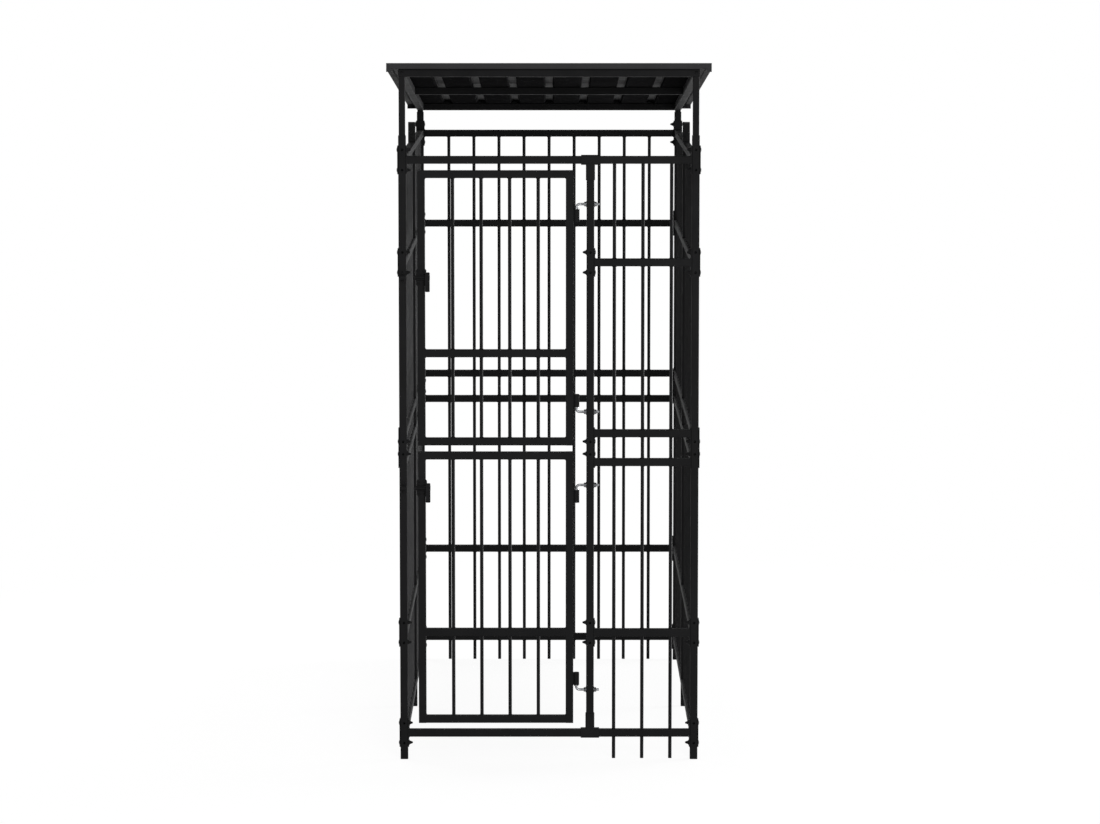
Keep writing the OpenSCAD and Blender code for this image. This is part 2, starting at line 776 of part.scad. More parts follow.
// Rafter between the end beams, drilled for the middle beam's bolt
module rafter(side) {
    color(powder_black) in_roof() translate([side * post_x, 0, -beam_w / 2]) difference() {
        rotate([0, 0, 90]) between(2 * beam_y - beam_w - 2 * seat_gap);
        along_x() cross_hole(beam_hole_d, beam_w + 2 * cut);
    }
}

// Beam over the roof posts of one end, drilled for the rafters' bolts
module end_beam(end) {
    color(powder_black) in_roof() translate([0, end * beam_y, -beam_w / 2]) difference() {
        closed_tube(2 * post_x + roof_post_w, tube_wall);
        for (x = [-post_x, post_x]) translate([x, 0, 0]) along_y() cross_hole(beam_hole_d, beam_w + 2 * cut);
        beam_screw_holes();
    }
}

module middle_beam() {
    color(powder_black) in_roof() translate([0, 0, -beam_w / 2]) difference() {
        between(2 * post_x - beam_w - 2 * seat_gap);
        beam_screw_holes();
    }
}

// Seats of the roof bolts on the outer faces of the rafters and the end beams
module at_roof_bolts() {
    reach = beam_w / 2 + seat_gap;
    translate([0, 0, -beam_w / 2]) for (s = [-1, 1]) {
        translate([s * (post_x + reach), 0, 0]) rotate([0, -90 * s, 0]) children();
        for (e = [-1, 1]) translate([s * post_x, e * (beam_y + reach), 0]) rotate([90 * e, 0, 0]) children();
    }
}

module roof_bolts() {
    color(powder_black) in_roof() at_roof_bolts() {
        dome(2 * beam_bolt_d, beam_bolt_d / 2);
        cylinder(d = beam_bolt_d, h = beam_w + 2 * seat_gap + 4 * plate_t);
    }
}

// Roof post: a tube that stands in a corner post, cut to the slope under the end beam
module roof_post(side, end) {
    color(powder_black) difference() {
        translate([side * post_x, end * post_y, roof_post_foot])
            linear_extrude(roof_z + post_y - roof_post_foot) difference() {
                rounded_square(roof_post_w, tube_r);
                rounded_square(roof_post_w - 2 * tube_wall, tube_r - tube_wall);
            }
        in_roof() translate([-roof_wid, -roof_len, -beam_w - seat_gap])
            cube([2 * roof_wid, 2 * roof_len, 2 * post_y]);
        translate([side * post_x, end * post_y, post_screw_z])
            along_y() cylinder(d = screw_hole_d, h = post_w);
    }
}

module roof_post_screws() {
    color(powder_black) for (x = [-post_x, post_x], y = [-post_y, post_y])
        translate([x, y + post_w / 2 + seat_gap, post_screw_z]) rotate([90, 0, 0])
            screw(roof_screw_d, post_screw_l, post_head_d, roof_head_h);
}

// Half of the sheet's section at height z above the underside, from left to right
function rib_line(z) = [for (i = [0 : rib_count - 1], p = [[-1, 0], [-0.5, 1], [0.5, 1], [1, 0]])
    let (mid = (i - (rib_count - 1) / 2) * rib_pitch,
         half = rib_crest / 2 + (1 - p[1]) * rib_flank)
    [mid + sign(p[0]) * half, z + p[1] * rib_h]];

module roof_sheet() {
    half = roof_wid / 2 - trim_t - seat_gap;
    low = concat([[-half, seat_gap]], rib_line(seat_gap), [[half, seat_gap]]);
    high = [for (p = low) [p[0], p[1] + sheet_t]];
    back = [for (i = [len(high) - 1 : -1 : 0]) high[i]];
    color(roof_grey) in_roof() difference() {
        translate([0, roof_inner_len / 2, 0]) rotate([90, 0, 0]) linear_extrude(roof_inner_len)
            polygon(concat(low, back));
        for (x = beam_screws(), y = [-beam_y, 0, beam_y]) translate([x, y, -cut])
            cylinder(d = screw_hole_d, h = sheet_t + 2 * cut);
    }
}

module roof_screws() {
    color(roof_grey) in_roof() for (x = beam_screws(), y = [-beam_y, 0, beam_y])
        translate([x, y, seat_gap + sheet_t]) mirror([0, 0, 1])
            screw(roof_screw_d, roof_screw_l, roof_head_d, roof_head_h);
}

// Edge trim along +X, outside towards -Y: an upright leg, and an inner leg along its lower edge
module trim(l, leg_l, below) {
    translate([-l / 2, 0, -below]) {
        cube([l, trim_t, below + trim_above]);
        translate([(l - leg_l) / 2, 0, 0]) cube([leg_l, trim_leg, trim_t]);
    }
}

module end_trim(end, below) {
    color(roof_grey) in_roof() mirror([0, end > 0 ? 1 : 0, 0]) translate([0, -roof_len / 2, 0])
        trim(roof_wid, roof_wid - 2 * (trim_t + seat_gap), below);
}

module side_trim(side) {
    color(roof_grey) in_roof() mirror([side > 0 ? 1 : 0, 0, 0]) translate([-roof_wid / 2, 0, 0])
        rotate([0, 0, -90]) trim(roof_inner_len, roof_inner_len, side_trim_below);
}

post(-post_x, -post_y);  // post_front_left
post(post_x, -post_y);  // post_front_right
post(-post_x, 0);  // post_middle_left
post(post_x, 0);  // post_middle_right
post(-post_x, post_y);  // post_back_left
post(post_x, post_y);  // post_back_right
post_plugs();
front_top_rail();
front_bottom_rail();
divider_post();
divider_top_tee();
divider_bottom_tee();
front_panel_upper();
front_panel_lower();
back_panel_upper();
back_panel_lower();
side_panel_upper(-1, -1);  // left_front_panel_upper
side_panel_lower(-1, -1);  // left_front_panel_lower
side_panel_upper(-1, 1);  // left_back_panel_upper
side_panel_lower(-1, 1);  // left_back_panel_lower
side_panel_upper(1, -1);  // right_front_panel_upper
side_panel_lower(1, -1);  // right_front_panel_lower
side_panel_upper(1, 1);  // right_back_panel_upper
side_panel_lower(1, 1);  // right_back_panel_lower
frame_bolts();
frame_nuts();
door(upper_door_z, upper_latch_z);  // upper_door
door(lower_door_z, lower_latch_z);  // lower_door
hinge_hooks(upper_door_z);  // upper_hinge_hooks
hinge_hooks(lower_door_z);  // lower_hinge_hooks
hinge_washers();
hinge_nuts();
latch_case(upper_latch_z);  // upper_latch_case
latch_case(lower_latch_z);  // lower_latch_case
latch_bolt(upper_latch_z);  // upper_latch_bolt
latch_bolt(lower_latch_z);  // lower_latch_bolt
latch_screws(upper_latch_z);  // upper_latch_screws
latch_screws(lower_latch_z);  // lower_latch_screws
latch_keeper(upper_latch_z);  // upper_latch_keeper
latch_keeper(lower_latch_z);  // lower_latch_keeper
keeper_screws();
roof_post(-1, -1);  // roof_post_front_left
roof_post(1, -1);  // roof_post_front_right
roof_post(-1, 1);  // roof_post_back_left
roof_post(1, 1);  // roof_post_back_right
roof_post_screws();
rafter(-1);  // roof_rafter_left
rafter(1);  // roof_rafter_right
end_beam(-1);  // roof_beam_front
middle_beam();  // roof_beam_middle
end_beam(1);  // roof_beam_back
roof_bolts();
roof_sheet();
end_trim(-1, trim_t);  // roof_trim_front
end_trim(1, back_trim_below);  // roof_trim_back
side_trim(-1);  // roof_trim_left
side_trim(1);  // roof_trim_right
roof_screws();
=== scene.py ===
"""Looks for the outdoor dog kennel run: finishes, welds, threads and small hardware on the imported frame."""
import itertools
import math

import bpy
from mathutils import Matrix, Vector


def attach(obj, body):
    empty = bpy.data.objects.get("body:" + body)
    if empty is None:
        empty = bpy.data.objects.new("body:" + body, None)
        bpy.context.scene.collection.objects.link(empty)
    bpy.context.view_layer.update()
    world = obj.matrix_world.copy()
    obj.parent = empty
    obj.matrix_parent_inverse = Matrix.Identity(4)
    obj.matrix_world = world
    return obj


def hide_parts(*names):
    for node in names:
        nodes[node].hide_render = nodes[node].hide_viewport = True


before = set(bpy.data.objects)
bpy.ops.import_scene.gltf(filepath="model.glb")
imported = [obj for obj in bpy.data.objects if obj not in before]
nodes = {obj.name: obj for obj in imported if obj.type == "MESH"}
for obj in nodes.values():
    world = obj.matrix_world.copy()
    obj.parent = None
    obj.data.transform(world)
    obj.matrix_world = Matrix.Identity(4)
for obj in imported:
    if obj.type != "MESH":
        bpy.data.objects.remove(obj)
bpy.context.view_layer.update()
scene = bpy.context.scene

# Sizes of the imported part, in metres: posts, tubes, rails and bars
POST_X, POST_Y, HALF = 0.4775, 0.955, 0.0125
LOWER_RAILS, UPPER_RAILS = (0.087, 0.422, 0.987), (1.082, 1.643, 1.977)
ALL_RAILS, TOP_RAIL = LOWER_RAILS + UPPER_RAILS, UPPER_RAILS[-1]
RAIL_END = 0.4619
PANEL_X, PANEL_END = 0.30625, 0.15565
BAR_R, BAR_PITCH = 0.00575, 0.093

# Doors, from their lower edges, with their hinge hooks and latches
DOORS = {"upper": 1.04275, "lower": 0.121}
DOOR_H, DOOR_MID, DOOR_LEFT, DOOR_RIGHT = 0.90025, 0.3025, -0.429, 0.08
DIVIDER_X, HOOK_R, HOOK_INSET = 0.135, 0.004, 0.11
SLEEVE_L, SLEEVE_DROP = 0.042, 0.016
NUT_SEAT, NUT_ACROSS, NUT_BORE, NUT_H = 0.0142, 0.013, 0.0041, 0.0065
HOOKS = [z + d for z in DOORS.values() for d in (HOOK_INSET, DOOR_H - HOOK_INSET)]
LATCHES = {"upper": 1.59475, "lower": 0.90325}
LATCH_FACE, CASE_SCREW_X, CASE_SCREW_Z, KEEPER_SCREW_Z = -0.9701, 0.00833, 0.021, 0.013
SCREW = {"radius": 0.004, "height": 0.0024, "shank": 0.0019}

# Roof, in its own frame: y runs along the slope, and z = 0 is the sheet's underside
SLOPE = math.radians(5.5)
BACK_BEAM_Z, ROOF_SHIFT = 2.061, 0.00775
BEAM_Y = POST_Y / math.cos(SLOPE)
ROOF_Z = BACK_BEAM_Z + (BEAM_Y + HALF) * math.sin(SLOPE) + 2 * HALF * math.cos(SLOPE)
ROOF = Matrix.Translation((0, -ROOF_SHIFT * math.sin(SLOPE), ROOF_Z)) @ Matrix.Rotation(-SLOPE, 4, "X")
ROOF_HALF_W, ROOF_HALF_L = 0.5265, 0.9996
RIB_PITCH, RIB_HALF, SHEET_TOP = 0.125, 0.0135, 0.0009

# Scales of the finishes' noise, in features per metre
CLOUDS, GLOSS, PEEL = 7, 22, 500


def material(name, base, roughness, metallic=0.0, specular=0.5):
    """A Principled material with its node tree and shader."""
    mat = bpy.data.materials.new(name)
    mat.use_nodes = True
    tree = mat.node_tree
    shader = tree.nodes["Principled BSDF"]
    shader.inputs["Base Color"].default_value = (*base, 1)
    shader.inputs["Roughness"].default_value = roughness
    shader.inputs["Metallic"].default_value = metallic
    shader.inputs["Specular IOR Level"].default_value = specular
    return mat, tree, shader


def add(tree, kind, **values):
    """A node with its properties and unlinked inputs set by name."""
    node = tree.nodes.new(kind)
    for key, value in values.items():
        if hasattr(node, key):
            setattr(node, key, value)
        else:
            node.inputs[key.replace("_", " ")].default_value = value
    return node


def maths(tree, operation, *inputs):
    """A Math node over sockets and numbers."""
    node = add(tree, "ShaderNodeMath", operation=operation)
    for socket, value in zip(node.inputs, inputs):
        if isinstance(value, (int, float)):
            socket.default_value = value
        else:
            tree.links.new(value, socket)
    return node.outputs["Value"]


def noise(tree, scale, detail=3.0, stretch=(1, 1, 1)):
    """Noise in object space, in features per metre."""
    coord = add(tree, "ShaderNodeTexCoord")
    mapping = add(tree, "ShaderNodeMapping", Scale=stretch)
    node = add(tree, "ShaderNodeTexNoise", Scale=scale, Detail=detail)
    tree.links.new(coord.outputs["Object"], mapping.inputs["Vector"])
    tree.links.new(mapping.outputs["Vector"], node.inputs["Vector"])
    return node.outputs["Fac"]


def ramp(tree, source, low, high, dark, light):
    """Maps source from low..high to dark..light, each a number or a colour."""
    node = add(tree, "ShaderNodeValToRGB")
    ends = [c if isinstance(c, tuple) else (c, c, c) for c in (dark, light)]
    for element, place, colour in zip(node.color_ramp.elements, (low, high), ends):
        element.position = place
        element.color = (*colour, 1)
    tree.links.new(source, node.inputs["Fac"])
    return node.outputs["Color"]


def bump(tree, shader, source, strength, distance):
    """Surface relief from a height, with its depth in metres."""
    node = add(tree, "ShaderNodeBump", Strength=strength, Distance=distance)
    tree.links.new(source, node.inputs["Height"])
    tree.links.new(node.outputs["Normal"], shader.inputs["Normal"])


def edges(tree, radius):
    """How far a rounded edge would turn the surface: 0 on flats, towards 1 on sharp edges."""
    bevel = add(tree, "ShaderNodeBevel", samples=4, Radius=radius)
    geometry = add(tree, "ShaderNodeNewGeometry")
    dot = add(tree, "ShaderNodeVectorMath", operation="DOT_PRODUCT")
    tree.links.new(bevel.outputs["Normal"], dot.inputs[0])
    tree.links.new(geometry.outputs["Normal"], dot.inputs[1])
    return maths(tree, "SUBTRACT", 1, dot.outputs["Value"])


def mix(tree, factor, a, b):
    """The colour a, or b where factor is 1."""
    node = add(tree, "ShaderNodeMix", data_type="RGBA")
    tree.links.new(factor, node.inputs["Factor"])
    for socket, value in ((node.inputs[6], a), (node.inputs[7], b)):
        if isinstance(value, tuple):
            socket.default_value = (*value, 1)
        else:
            tree.links.new(value, socket)
    return node.outputs[2]


def grey(level):
    """A neutral grey with a trace of blue."""
    return (level, level, level * 1.04)


def coat(name, base, light, specular=0.028):
    """Satin powder coat: cloudy tone, uneven gloss and orange peel."""
    mat, tree, shader = material(name, grey(base), 0.5, specular=specular)
    tone = ramp(tree, noise(tree, CLOUDS), 0.3, 0.75, grey(base), grey(light))
    tree.links.new(ramp(tree, noise(tree, GLOSS), 0.3, 0.7, 0.52, 0.64), shader.inputs["Roughness"])
    bump(tree, shader, noise(tree, PEEL, 2), 0.22, 0.0004)
    return mat, tree, shader, tone


def edge_lit_coat(name, base, light, edge_light, **look):
    """Satin powder coat with a painted highlight: its colour turns lighter on the rounded edges."""
    mat, tree, shader, tone = coat(name, base, light, **look)
    # Painted highlight: the colour turns lighter where the edges round off, standing in for the light those
    # edges catch
    edge_highlight = ramp(tree, edges(tree, 0.0012), 0.03, 0.3, 0.0, 0.5)
    tree.links.new(mix(tree, edge_highlight, tone, grey(edge_light)), shader.inputs["Base Color"])
    return mat


def sheet_paint_and_shade(name):
    """Coat of the roof sheet: paint above; below, painted shade on the flats and a lighter tone in the rib
    channels that stands in for the light seen in them.
    """
    mat, tree, shader, tone = coat(name, 0.01, 0.013)
    normal = add(tree, "ShaderNodeSeparateXYZ")
    tree.links.new(add(tree, "ShaderNodeNewGeometry").outputs["Normal"], normal.inputs["Vector"])
    below = maths(tree, "LESS_THAN", normal.outputs["Z"], 0)
    place = add(tree, "ShaderNodeSeparateXYZ")
    tree.links.new(add(tree, "ShaderNodeTexCoord").outputs["Object"], place.inputs["Vector"])
    off_rib = maths(tree, "PINGPONG", place.outputs["X"], RIB_PITCH / 2)
    in_rib = maths(tree, "LESS_THAN", off_rib, RIB_HALF)
    # Painted shade: the flats under the sheet are far darker than the paint above, standing in for the shade
    # under the roof
    flat_shade = ramp(tree, noise(tree, 12), 0.3, 0.7, grey(0.003), grey(0.0045))
    # Painted light: the rib channels under the sheet stay lighter, near the top paint's tone, standing in for
    # the light seen in them
    channel_light = ramp(tree, noise(tree, 40), 0.3, 0.7, grey(0.009), grey(0.012))
    under = mix(tree, in_rib, flat_shade, channel_light)
    tree.links.new(mix(tree, below, tone, under), shader.inputs["Base Color"])
    dull = maths(tree, "MULTIPLY", below, maths(tree, "SUBTRACT", 1, in_rib))
    specular = maths(tree, "MULTIPLY", 0.03, maths(tree, "SUBTRACT", 1, dull))
    tree.links.new(specular, shader.inputs["Specular IOR Level"])
    return mat


def plated(name, dark, light):
    """Zinc plating: fine spangle, uneven gloss, and drawing marks along the wire."""
    mat, tree, shader = material(name, dark, 0.35, metallic=1.0)
    cells = add(tree, "ShaderNodeTexVoronoi", Scale=260.0)
    tree.links.new(add(tree, "ShaderNodeTexCoord").outputs["Object"], cells.inputs["Vector"])
    spangle = ramp(tree, cells.outputs["Color"], 0.0, 1.0, dark, light)
    tree.links.new(spangle, shader.inputs["Base Color"])
    tree.links.new(ramp(tree, noise(tree, 180), 0.3, 0.7, 0.26, 0.5), shader.inputs["Roughness"])
    bump(tree, shader, noise(tree, 900, 2, (1, 1, 0.15)), 0.12, 0.0002)
    return mat


def moulded(name):
    """Matt black moulded plastic or rubber with a fine grain."""
    mat, tree, shader = material(name, grey(0.006), 0.5, specular=0.3)
    tone = ramp(tree, noise(tree, 30), 0.3, 0.7, grey(0.005), grey(0.009))
    tree.links.new(tone, shader.inputs["Base Color"])
    bump(tree, shader, noise(tree, 1800, 2), 0.2, 0.0002)
    return mat


# These coats carry a painted highlight along their edges
powder = edge_lit_coat("powder_coat", 0.0062, 0.0082, 0.017)
roof = edge_lit_coat("roof_paint", 0.021, 0.025, 0.034, specular=0.02)
# Painted shade: a darker copy of the roof paint for the trims' inner faces and undersides
trim_shade = edge_lit_coat("trim_painted_shade", 0.005, 0.007, 0.012, specular=0.015)
sheet = sheet_paint_and_shade("roof_sheet_paint_and_shade")
zinc = plated("zinc", (0.15, 0.153, 0.16), (0.27, 0.275, 0.285))
zinc_dark = plated("zinc_dark", (0.05, 0.051, 0.053), (0.1, 0.102, 0.106))
plastic = moulded("plug_plastic")

FINISHES = {"upper_hinge_hooks": zinc, "lower_hinge_hooks": zinc, "hinge_washers": zinc_dark,
            "hinge_nuts": zinc_dark, "post_plugs": plastic, "roof_sheet": sheet}
for name, node in nodes.items():
    painted = roof if name.startswith(("roof_trim", "roof_screws")) else powder
    node.data.materials.clear()
    node.data.materials.append(FINISHES.get(name, painted))


class Shape:
    """Points and faces of one piece, gathered from many small forms."""

    def __init__(self):
        self.points, self.faces = [], []

    def loft(self, rings, along=False):
        """Closed skin over rings of equally many points; along joins the last ring to the first."""
        n, points, faces = len(rings[0]), [Vector(p) for ring in rings for p in ring], []
        for i in range(len(rings) if along else len(rings) - 1):
            a, b = i * n, (i + 1) % len(rings) * n
            for j in range(n):
                k = (j + 1) % n
                faces.append((a + j, a + k, b + k, b + j))
        if not along:
            faces.append(tuple(range(n - 1, -1, -1)))
            faces.append(tuple(range(len(points) - n, len(points))))

        # Faces that enclose a negative volume are turned, so that all look outwards
        volume = 0.0
        for face in faces:
            corners = [points[i] - points[0] for i in face]
            for p, q in zip(corners[1:], corners[2:]):
                volume += corners[0].dot(p.cross(q))
        start, way = len(self.points), 1 if volume > 0 else -1
        self.points += [tuple(p) for p in points]
        self.faces += [tuple(start + i for i in face[::way]) for face in faces]

    def piece(self, name, body, slot, finish, *replaced, smooth=35):
        """Makes the object, which rides on a body and may stand for CAD nodes."""
        mesh = bpy.data.meshes.new(name)
        mesh.from_pydata(self.points, [], self.faces)
        mesh.validate()
        mesh.set_sharp_from_angle(angle=math.radians(smooth))
        mesh.materials.append(finish)
        obj = bpy.data.objects.new(name, mesh)
        scene.collection.objects.link(obj)
        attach(obj, body)
        if replaced:
            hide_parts(*replaced)
        return obj


def circle(steps):
    """Angle, cosine and sine of each step round a circle."""
    turns = [2 * math.pi * k / steps for k in range(steps)]
    return [(turn, math.cos(turn), math.sin(turn)) for turn in turns]


# Seeds of the uneven welds and of the screws' turns, the same on every run
SEEDS = itertools.count(1.7, 1.7)


def wave(turn, seed):
    """Uneven size of a hand-laid weld."""
    return 1 + 0.12 * math.sin(5 * turn + seed) + 0.07 * math.sin(11 * turn + 2.3 * seed)


def ring_weld(shape, x, y, z, up, leg=0.0028, sunk=0.0004):
    """Fillet round a bar where it meets a rail's face, sunk a little into both."""
    seed, rings = next(SEEDS), []
    for turn, c, s in circle(16):
        size = leg * wave(turn, seed)
        section = ((-sunk, -sunk), (size, -sunk), (size, 0.0002), (0.6 * size, 0.45 * size),
                   (0.25 * size, 0.8 * size), (-sunk, size))
        rings.append([(x + (BAR_R + r) * c, y + (BAR_R + r) * s, z + up * h) for r, h in section])
    shape.loft(rings, along=True)


def corner_weld(shape, start, end, out_a, out_b, leg=0.003, steps=9, sunk=0.0003):
    """Fillet along an inside corner, between two faces that look towards out_a and out_b."""
    start, end, a, b = Vector(start), Vector(end), Vector(out_a), Vector(out_b)
    seed, rings = next(SEEDS), []
    for k in range(steps):
        t = k / (steps - 1)
        size = leg * wave(9 * t, seed) * (0.72 if k in (0, steps - 1) else 1)
        section = ((-sunk, -sunk), (size, -sunk), (0.72 * size, 0.42 * size),
                   (0.42 * size, 0.72 * size), (-sunk, size))
        rings.append([start.lerp(end, t) + a * p + b * q for p, q in section])
    shape.loft(rings)


def bar_places(count):
    """Even row of bars, centred."""
    return [(i - (count - 1) / 2) * BAR_PITCH for i in range(count)]


# Welds of the walls: at every bar and rail, and where the rails meet their brackets.
# Each wall has its middle, its direction, its number of bars, its rails' ends and its rails.
WELD_HALF = 0.0095
walls = [((x, unit * POST_X), (0, 1), 9, RAIL_END, ALL_RAILS)
         for x in (-POST_X, POST_X) for unit in (-1, 1)]
walls += [((0, POST_Y), (1, 0), 9, RAIL_END, ALL_RAILS),
          ((PANEL_X, -POST_Y), (1, 0), 3, PANEL_END, LOWER_RAILS[1:] + UPPER_RAILS[:2]),
          ((0, -POST_Y), (1, 0), 0, RAIL_END, (LOWER_RAILS[0], TOP_RAIL))]
welds = Shape()
for (cx, cy), (ux, uy), count, end, rails in walls:
    for z, up in itertools.product(rails, (-1, 1)):
        face = z + up * HALF
        for s in (-1, 1):
            x, y = cx + s * end * ux, cy + s * end * uy
            corner_weld(welds, (x - WELD_HALF * uy, y - WELD_HALF * ux, face),
                        (x + WELD_HALF * uy, y + WELD_HALF * ux, face), (-s * ux, -s * uy, 0), (0, 0, up))
        if z == TOP_RAIL and up > 0:
            continue
        for u in bar_places(count):
            ring_weld(welds, cx + u * ux, cy + u * uy, face, up)
welds.piece("frame_welds", "frame", "powder_coat", powder, smooth=60)

# Welds of the doors: bars, frame corners and hinge sleeves
SLEEVE_SIDE, SLEEVE_MARGIN = 0.0042, 0.001
SLEEVES = (HOOK_INSET + SLEEVE_DROP, DOOR_H - HOOK_INSET - SLEEVE_DROP - SLEEVE_L)
for side, z0 in DOORS.items():
    welds = Shape()
    mid = (DOOR_LEFT + DOOR_RIGHT) / 2
    for level, up in ((HALF, 1), (DOOR_MID, -1), (DOOR_MID, 1), (DOOR_H - HALF, -1)):
        face = z0 + level + up * HALF
        for x, inward in ((DOOR_LEFT + 2 * HALF, 1), (DOOR_RIGHT - 2 * HALF, -1)):
            corner_weld(welds, (x, -POST_Y - WELD_HALF, face), (x, -POST_Y + WELD_HALF, face),
                        (inward, 0, 0), (0, 0, up))
        for u in bar_places(4):
            ring_weld(welds, mid + u, -POST_Y, face, up)
    for low, out in itertools.product(SLEEVES, (-1, 1)):
        y, z = -POST_Y + out * SLEEVE_SIDE, z0 + low
        corner_weld(welds, (DOOR_RIGHT, y, z + SLEEVE_MARGIN), (DOOR_RIGHT, y, z + SLEEVE_L - SLEEVE_MARGIN),
                    (1, 0, 0), (0, out, 0), leg=0.0036, steps=13)
    welds.piece(side + "_door_welds", side + "_door", "powder_coat", powder, smooth=60)

# Rolled threads at both nuts of each hinge hook, as starts along X and numbers of turns
THREADS = ((0.1557, 6.6), (0.1032, 8.6))
THREAD_PITCH, THREAD_DEPTH, THREAD_ROOT, TURN_STEPS, FADE_STEPS = 0.00125, 0.00035, 0.0038, 18, 9
threads = Shape()
for z, (x0, turns) in itertools.product(HOOKS, THREADS):
    steps, rings = int(turns * TURN_STEPS), []
    for k in range(steps + 1):
        turn, x = 2 * math.pi * k / TURN_STEPS, x0 + THREAD_PITCH * k / TURN_STEPS
        crest = HOOK_R + THREAD_DEPTH * min(1, k / FADE_STEPS, (steps - k) / FADE_STEPS)
        section = ((-0.00055, THREAD_ROOT), (-0.0001, crest), (0.0001, crest), (0.00055, THREAD_ROOT))
        rings.append([(x + dx, -POST_Y + r * math.cos(turn), z + r * math.sin(turn)) for dx, r in section])
    threads.loft(rings)
threads.piece("hook_threads", "frame", "zinc", zinc, smooth=60)


def hexagon(shape, matrix, across, bore, base, top, both):
    """Hexagon chamfered at the top: a nut with an open bore and both ends chamfered, or else a head."""
    flat, rings = across / 2, []
    crown = 0.97 * flat
    for turn, c, s in circle(48):
        reach = flat / math.cos(turn % (math.pi / 3) - math.pi / 6)
        drop = max(0, reach - crown) * math.tan(math.radians(30))
        foot = [(crown, base), (reach, base + drop)] if both else [(reach, base)]
        section = [(bore, base), *foot, (reach, top - drop), (crown, top), (bore, top)]
        rings.append([matrix @ Vector((r * c, r * s, h)) for r, h in section])
    shape.loft(list(zip(*rings)), along=both)


nuts = Shape()
for z in HOOKS:
    for s in (-1, 1):
        place = Matrix.Translation((DIVIDER_X + s * NUT_SEAT, -POST_Y, z))
        hexagon(nuts, place @ Matrix.Rotation(s * math.pi / 2, 4, "Y"), NUT_ACROSS, NUT_BORE, 0.0, NUT_H, True)
nuts.piece("hook_nuts", "frame", "zinc", zinc_dark, "hinge_nuts")


def disc(shape, matrix, profile):
    """Turned form from its radius and height pairs, closed at both ends."""
    shape.loft([[matrix @ Vector((r * c, r * s, h)) for turn, c, s in circle(32)] for r, h in profile])


# Roof screws: hexagonal washer heads on rubber washers
WASHER = ((0.0062, 0.0), (0.0067, 0.0003), (0.0067, 0.001), (0.0062, 0.0013))
FLANGE = ((0.0026, -0.0105), (0.0026, 0.0011), (0.006, 0.0011), (0.0063, 0.0014), (0.0063, 0.0019),
          (0.0058, 0.0021), (0.003, 0.0022))
heads, rubber = Shape(), Shape()
for i, y in itertools.product(range(6), (-BEAM_Y, 0, BEAM_Y)):
    place = Matrix.Translation(((i - 2.5) * RIB_PITCH, y, SHEET_TOP))
    seat = ROOF @ place @ Matrix.Rotation(next(SEEDS), 4, "Z")
    disc(rubber, seat, WASHER)
    disc(heads, seat, FLANGE)
    hexagon(heads, seat, 0.008, 0.0004, 0.0019, 0.004, False)
heads.piece("roof_screw_heads", "frame", "roof_paint", roof, "roof_screws")
rubber.piece("roof_screw_washers", "frame", "plug_plastic", plastic)


# Edge trims of the roof: folded strips with hemmed edges, painted outside and given painted shade inside, and
# deeper tabs at the front corners.
# Their sections give the reach inwards and the height.
TRIM_LAP, FRONT_LOW, SIDE_LOW, TAB_W = 0.0016, -0.0015, -0.0032, 0.015
TAB = ((0, -0.0012), (0.001, -0.0113), (0.0012, -0.0116), (0.0018, -0.0116), (0.002, -0.0113), (0.0012, -0.0012))


def strip(low):
    """Sections of a trim's upright and of its inner leg at height low."""
    upright = ((0, 0.0166), (0, low + 0.0006), (0.0002, low + 0.0002), (0.0006, low), (0.0012, low),
               (0.0015, low + 0.0003), (0.0015, 0.0166), (0.0012, 0.017), (0.0003, 0.017))
    leg = ((0.0007, low), (0.0196, low), (0.02, low + 0.0004), (0.02, low + 0.0011),
           (0.0196, low + 0.0015), (0.0007, low + 0.0015))
    return upright, leg


def shade_trim_inside(obj, outwards):
    """Gives painted shade, a much darker copy of the roof paint, to the faces that don't look outwards or up."""
    obj.data.materials.append(trim_shade)
    for face in obj.data.polygons:
        if face.normal.dot(outwards(face.center)) < 0.2 and face.normal.z < 0.5:
            face.material_index = 1


front, sides = Shape(), Shape()
upright, leg = strip(FRONT_LOW)
for section, x0, x1 in ((upright, -ROOF_HALF_W, ROOF_HALF_W),
                        (leg, TRIM_LAP - ROOF_HALF_W, ROOF_HALF_W - TRIM_LAP),
                        (TAB, -ROOF_HALF_W, TAB_W - ROOF_HALF_W),
                        (TAB, ROOF_HALF_W - TAB_W, ROOF_HALF_W)):
    front.loft([[ROOF @ Vector((x, p - ROOF_HALF_L, q)) for p, q in section] for x in (x0, x1)])
side_end = ROOF_HALF_L - TRIM_LAP
for s, section in itertools.product((-1, 1), strip(SIDE_LOW)):
    sides.loft([[ROOF @ Vector((s * (ROOF_HALF_W - p), y, q)) for p, q in section]
                for y in (-s * side_end, s * side_end)])
shade_trim_inside(front.piece("roof_front_trim", "frame", "roof_paint", roof, "roof_trim_front"),
           lambda c: Vector((0, -1, 0)))
shade_trim_inside(sides.piece("roof_side_trims", "frame", "roof_paint", roof, "roof_trim_left", "roof_trim_right"),
           lambda c: Vector((math.copysign(1, c.x), 0, 0)))


def pan_head(shape, x, z, length, radius, height, shank):
    """Screw on the front of the latch hardware: a pan head with a cross recess, on its shank."""
    seat = Matrix.Translation((x, LATCH_FACE, z)) @ Matrix.Rotation(math.pi / 2, 4, "X")
    seat = seat @ Matrix.Rotation(next(SEEDS), 4, "Z")
    arm, half = 0.55 * radius, 0.11 * radius
    rings = []
    for turn, c, s in circle(48):
        off_arm = abs((turn + math.pi / 4) % (math.pi / 2) - math.pi / 4)
        cross = min(arm / math.cos(off_arm), half / max(math.sin(off_arm), 0.001))
        section = ((shank, -length), (shank, 0.0), (radius, 0.0), (radius, 0.35 * height),
                   (0.93 * radius, 0.65 * height), (0.8 * radius, 0.86 * height), (0.62 * radius, height),
                   (cross, height), (0.8 * cross, 0.45 * height))
        rings.append([seat @ Vector((r * c, r * s, h)) for r, h in section])
    shape.loft(list(zip(*rings)))


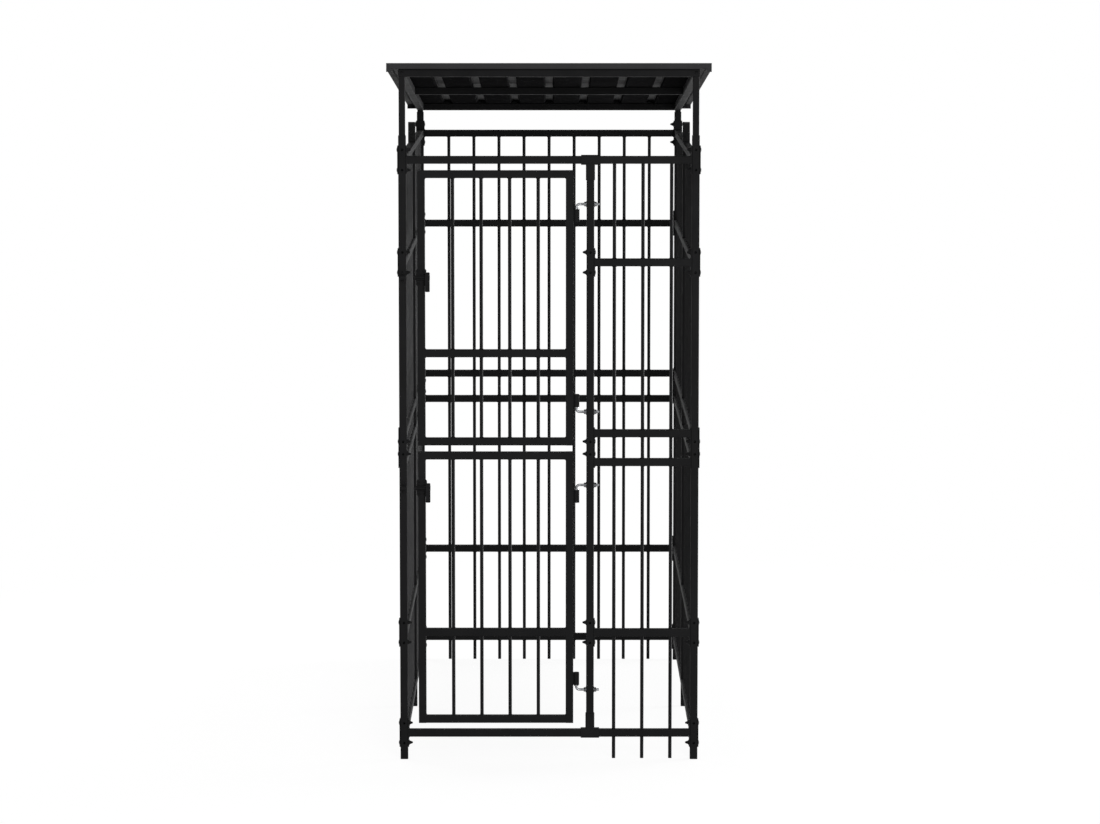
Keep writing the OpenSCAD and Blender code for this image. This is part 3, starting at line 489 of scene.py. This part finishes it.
keepers = Shape()
for side, z in LATCHES.items():
    screws = Shape()
    for s in (-1, 1):
        for dx in (-CASE_SCREW_X, CASE_SCREW_X):
            pan_head(screws, DOOR_LEFT + HALF + dx, z + s * CASE_SCREW_Z, 0.009, **SCREW)
        pan_head(keepers, -POST_X, z + s * KEEPER_SCREW_Z, 0.0025, **SCREW)
    screws.piece(side + "_latch_screw_heads", side + "_door", "powder_coat", powder, side + "_latch_screws")
keepers.piece("keeper_screw_heads", "frame", "powder_coat", powder, "keeper_screws")


def seen(tree):
    """1 for camera, glossy and transmission rays, and 0 for light on the object."""
    path = add(tree, "ShaderNodeLightPath")
    either = maths(tree, "MAXIMUM", path.outputs["Is Camera Ray"], path.outputs["Is Glossy Ray"])
    return maths(tree, "MAXIMUM", either, path.outputs["Is Transmission Ray"])


# Floor: white, with a faint shadow near the object that fades with distance
mesh = bpy.data.meshes.new("floor")
mesh.from_pydata([(x, y, 0) for x, y in ((-60, -40), (60, -40), (60, 120), (-60, 120))], [], [(0, 1, 2, 3)])
floor = bpy.data.objects.new("floor", mesh)
scene.collection.objects.link(floor)
paint = bpy.data.materials.new("floor_white")
paint.use_nodes = True
tree = paint.node_tree
tree.nodes.remove(tree.nodes["Principled BSDF"])
matt = add(tree, "ShaderNodeBsdfDiffuse", Color=(0.9, 0.9, 0.9, 1))
glow = add(tree, "ShaderNodeEmission", Color=(1, 1, 1, 1), Strength=1.0)
far = add(tree, "ShaderNodeVectorMath", operation="LENGTH")
tree.links.new(add(tree, "ShaderNodeNewGeometry").outputs["Position"], far.inputs[0])
share = add(tree, "ShaderNodeMapRange", From_Min=1.0, From_Max=3.5, To_Min=0.9, To_Max=1.0)
tree.links.new(far.outputs["Value"], share.inputs["Value"])
blend = add(tree, "ShaderNodeMixShader")
tree.links.new(maths(tree, "MULTIPLY", seen(tree), share.outputs["Result"]), blend.inputs["Fac"])
tree.links.new(matt.outputs["BSDF"], blend.inputs[1])
tree.links.new(glow.outputs["Emission"], blend.inputs[2])
tree.links.new(blend.outputs["Shader"], tree.nodes["Material Output"].inputs["Surface"])
mesh.materials.append(paint)

# World: white where it is seen, and a softer light on the object
world = bpy.data.worlds.new("studio")
scene.world = world
world.use_nodes = True
tree = world.node_tree
sky = tree.nodes["Background"]
sky.inputs["Color"].default_value = (1, 1, 1, 1)
level = add(tree, "ShaderNodeMapRange", To_Min=0.5, To_Max=1.0)
tree.links.new(seen(tree), level.inputs["Value"])
tree.links.new(level.outputs["Result"], sky.inputs["Strength"])


def softbox(name, place, aim, width, height, power):
    """Area lamp at a place, turned towards aim, with its power in watts."""
    lamp = bpy.data.lights.new(name, "AREA")
    lamp.shape, lamp.size, lamp.size_y, lamp.energy = "RECTANGLE", width, height, power
    obj = bpy.data.objects.new(name, lamp)
    obj.location = place
    obj.rotation_euler = (Vector(aim) - Vector(place)).to_track_quat("-Z", "Y").to_euler()
    scene.collection.objects.link(obj)


softbox("key", (6.5, 2.2, 0.6), (-0.4, 0, 0.6), 3.0, 1.1, 1600)
softbox("fill", (2.0, -10.0, 3.5), (0, 0, 1.1), 3.0, 3.0, 600)
softbox("back", (-6.0, 5.0, 3.5), (0, 0, 1.1), 3.0, 3.0, 250)
softbox("top", (0.0, 1.0, 6.5), (0, 0, 1.0), 4.0, 4.0, 180)

CAMERA_PITCH = math.radians(6.45)
camera = bpy.data.objects.new("camera", bpy.data.cameras.new("camera"))
camera.data.lens, camera.data.sensor_width, camera.data.clip_end = 135.46, 36.0, 400
camera.location = (0.0034, -14.418, 2.674)
camera.rotation_euler = (math.pi / 2 - CAMERA_PITCH, 0, 0)
scene.collection.objects.link(camera)
scene.camera = camera
scene.view_settings.view_transform = "Standard"
